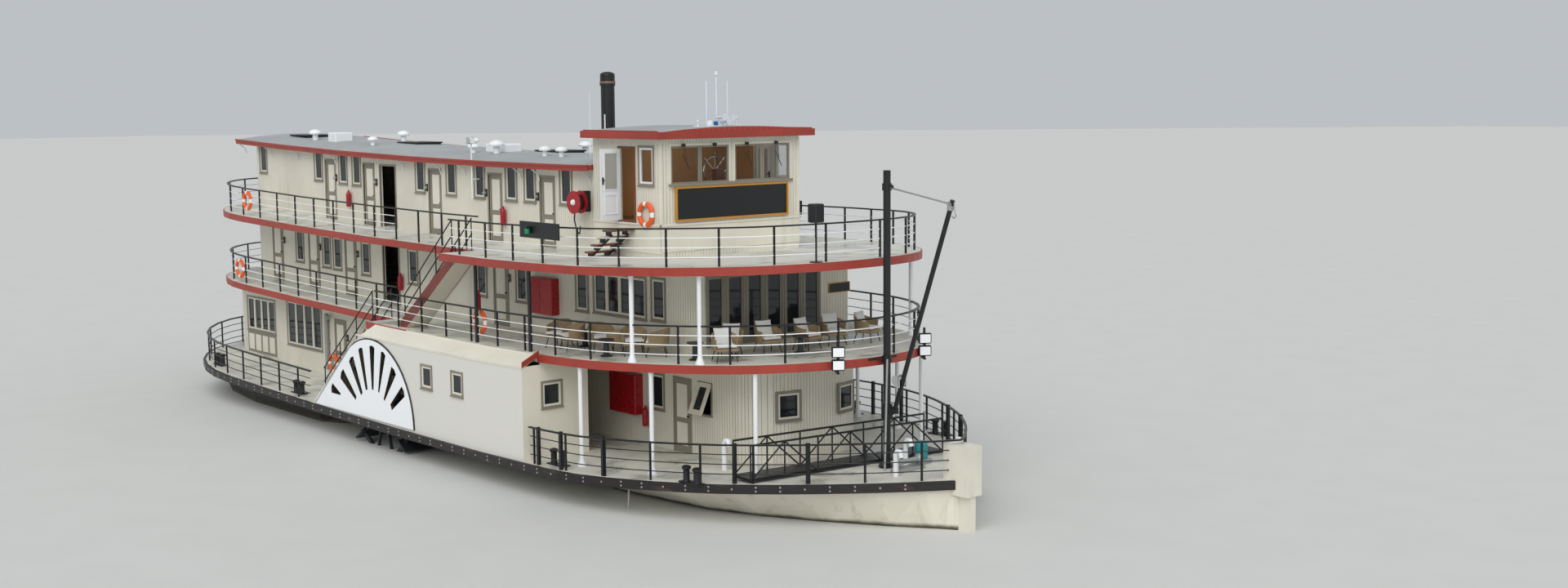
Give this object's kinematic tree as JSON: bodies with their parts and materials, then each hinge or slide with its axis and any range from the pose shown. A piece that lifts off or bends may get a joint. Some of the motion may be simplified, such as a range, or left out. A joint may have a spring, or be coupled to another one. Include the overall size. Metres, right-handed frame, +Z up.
{
  "type": "side-wheel paddle steamer",
  "caption": "Multi-deck side-wheel paddle steamer, afloat, with turning paddles, helm and rudder, hinged cabin doors and a slewing, luffing foredeck derrick.",
  "frame": {"origin": "amidships on the centreline, at the waterline", "axes": "+X forward to the bow, +Y to port, +Z up"},
  "size_m": [36.83, 12, 12.4245],
  "materials": {
    "hull_paint": "satin black-brown paint",
    "cream_paint": "gloss cream paint",
    "cream_boards": "grooved boards in cream paint",
    "deck_paint": "matt pale grey deck paint",
    "red_paint": "satin brick-red paint",
    "black_paint": "satin black paint",
    "roof_sheet": "light grey roof sheet",
    "white_paint": "satin white paint",
    "varnished_timber": "varnished brown timber",
    "bright_steel": "polished",
    "machinery_steel": "painted machinery black",
    "window_glass": "clear panes before a dim room",
    "trim_paint": "satin grey-brown paint on window and door trim",
    "fire_red": "gloss red paint on the safety gear",
    "orange_float": "matt orange",
    "fender_rubber": "worn black rubber",
    "ring_copper": "dull copper",
    "cane_weave": "brown woven cane",
    "seat_cloth": "off-white cotton"
  },
  "bodies": {
    "ship": {"hull": "hull_paint", "rubbing_strake": "hull_paint", "stem_head": "cream_paint", "main_deck": "deck_paint", "deck_2": "deck_paint", "deck_3": "deck_paint", "deck_2_fascia": "red_paint", "deck_3_fascia": "red_paint", "bow_rail": "black_paint", "stern_rail": "black_paint", "deck_2_rail_forward": "black_paint", "deck_2_rail_aft": "black_paint", "deck_3_rail_forward": "black_paint", "deck_3_rail_aft": "black_paint", "house_1_front": "cream_boards", "house_1_aft": "cream_boards", "house_2_aft": "cream_boards", "house_2_front": "cream_boards", "cabin_aft": "cream_boards", "cabin_roof": "roof_sheet", "pilothouse_roof": "roof_sheet", "pilothouse_walls": "cream_boards", "pilothouse_floor": "varnished_timber", "front_board": "black_paint", "funnel": "black_paint", "engine": "machinery_steel", "boiler": "machinery_steel", "derrick_mast": "black_paint", "house_1_starboard": "cream_boards", "house_1_port": "cream_boards", "house_2_starboard": "cream_boards", "house_2_port": "cream_boards", "cabin_starboard": "cream_boards", "cabin_port": "cream_boards", "paddle_box_starboard": "cream_boards", "paddle_box_port": "cream_boards", "upper_stair_starboard": "red_paint", "upper_stair_port": "red_paint", "lower_stair_starboard": "varnished_timber", "lower_stair_port": "varnished_timber"},
    "paddles": {"paddle_shaft": "machinery_steel", "paddle_wheel_starboard": "machinery_steel", "paddle_wheel_port": "machinery_steel"},
    "rudder_body": {"rudder": "hull_paint"},
    "helm": {"helm_wheel": "bright_steel"},
    "gooseneck": {"derrick_gooseneck": "black_paint"},
    "boom": {"derrick_boom": "black_paint"},
    "cabin_door_starboard_1_leaf": {"cabin_door_starboard_1": "cream_paint"},
    "cabin_door_starboard_2_leaf": {"cabin_door_starboard_2": "cream_paint"},
    "cabin_door_starboard_3_leaf": {"cabin_door_starboard_3": "cream_paint"},
    "cabin_door_starboard_4_leaf": {"cabin_door_starboard_4": "cream_paint"},
    "cabin_door_starboard_5_leaf": {"cabin_door_starboard_5": "cream_paint"},
    "cabin_door_port_1_leaf": {"cabin_door_port_1": "cream_paint"},
    "cabin_door_port_2_leaf": {"cabin_door_port_2": "cream_paint"},
    "cabin_door_port_3_leaf": {"cabin_door_port_3": "cream_paint"},
    "cabin_door_port_4_leaf": {"cabin_door_port_4": "cream_paint"},
    "cabin_door_port_5_leaf": {"cabin_door_port_5": "cream_paint"},
    "pilothouse_door_starboard_leaf": {"pilothouse_door_starboard": "white_paint"},
    "pilothouse_door_port_leaf": {"pilothouse_door_port": "white_paint"}
  },
  "joints": [
    {"name": "paddle_spin", "type": "hinge", "parent": "ship", "child": "paddles", "pos_m": [-1.15, 0, 1.22], "axis": [0, 1, 0], "continuous": true},
    {"name": "rudder_turn", "type": "hinge", "parent": "ship", "child": "rudder_body", "pos_m": [-15.6, 0, -0.7], "axis": [0, 0, 1], "range_deg": [-35, 35]},
    {"name": "helm_turn", "type": "hinge", "parent": "ship", "child": "helm", "pos_m": [8.38, 0, 8.62], "axis": [1, 0, 0], "range_deg": [-540, 540]},
    {"name": "derrick_slew", "type": "hinge", "parent": "ship", "child": "gooseneck", "pos_m": [15.29, 0, 2.67], "axis": [0, 0, 1], "range_deg": [-70, 70]},
    {"name": "boom_luff", "type": "hinge", "parent": "gooseneck", "child": "boom", "pos_m": [15.56, 0, 2.67], "axis": [0, 1, 0], "range_deg": [-10, 60]},
    {"name": "cabin_door_starboard_1_swing", "type": "hinge", "parent": "ship", "child": "cabin_door_starboard_1_leaf", "pos_m": [-10.6915, -2.25, 7.4], "axis": [0, 0, 1], "range_deg": [0, 90]},
    {"name": "cabin_door_starboard_2_swing", "type": "hinge", "parent": "ship", "child": "cabin_door_starboard_2_leaf", "pos_m": [-7.8915, -2.25, 7.4], "axis": [0, 0, 1], "range_deg": [0, 90]},
    {"name": "cabin_door_starboard_3_swing", "type": "hinge", "parent": "ship", "child": "cabin_door_starboard_3_leaf", "pos_m": [-3.4615, -2.25, 7.4], "axis": [0, 0, 1], "range_deg": [0, 90]},
    {"name": "cabin_door_starboard_4_swing", "type": "hinge", "parent": "ship", "child": "cabin_door_starboard_4_leaf", "pos_m": [0.1585, -2.25, 7.4], "axis": [0, 0, 1], "range_deg": [0, 90]},
    {"name": "cabin_door_starboard_5_swing", "type": "hinge", "parent": "ship", "child": "cabin_door_starboard_5_leaf", "pos_m": [3.0485, -2.25, 7.4], "axis": [0, 0, 1], "range_deg": [0, 90]},
    {"name": "pilothouse_door_starboard_swing", "type": "hinge", "parent": "ship", "child": "pilothouse_door_starboard_leaf", "pos_m": [7.2935, -2.52, 8.3], "axis": [0, 0, 1], "range_deg": [0, 90]},
    {"name": "cabin_door_port_1_swing", "type": "hinge", "parent": "ship", "child": "cabin_door_port_1_leaf", "pos_m": [-10.6915, 2.25, 7.4], "axis": [0, 0, -1], "range_deg": [0, 90]},
    {"name": "cabin_door_port_2_swing", "type": "hinge", "parent": "ship", "child": "cabin_door_port_2_leaf", "pos_m": [-7.8915, 2.25, 7.4], "axis": [0, 0, -1], "range_deg": [0, 90]},
    {"name": "cabin_door_port_3_swing", "type": "hinge", "parent": "ship", "child": "cabin_door_port_3_leaf", "pos_m": [-3.4615, 2.25, 7.4], "axis": [0, 0, -1], "range_deg": [0, 90]},
    {"name": "cabin_door_port_4_swing", "type": "hinge", "parent": "ship", "child": "cabin_door_port_4_leaf", "pos_m": [0.1585, 2.25, 7.4], "axis": [0, 0, -1], "range_deg": [0, 90]},
    {"name": "cabin_door_port_5_swing", "type": "hinge", "parent": "ship", "child": "cabin_door_port_5_leaf", "pos_m": [3.0485, 2.25, 7.4], "axis": [0, 0, -1], "range_deg": [0, 90]},
    {"name": "pilothouse_door_port_swing", "type": "hinge", "parent": "ship", "child": "pilothouse_door_port_leaf", "pos_m": [7.2935, 2.52, 8.3], "axis": [0, 0, 1], "range_deg": [0, 90]}
  ],
  "couplings": [
    {"joint": "helm_turn", "follows": "rudder_turn", "ratio": 15.4}
  ]
}
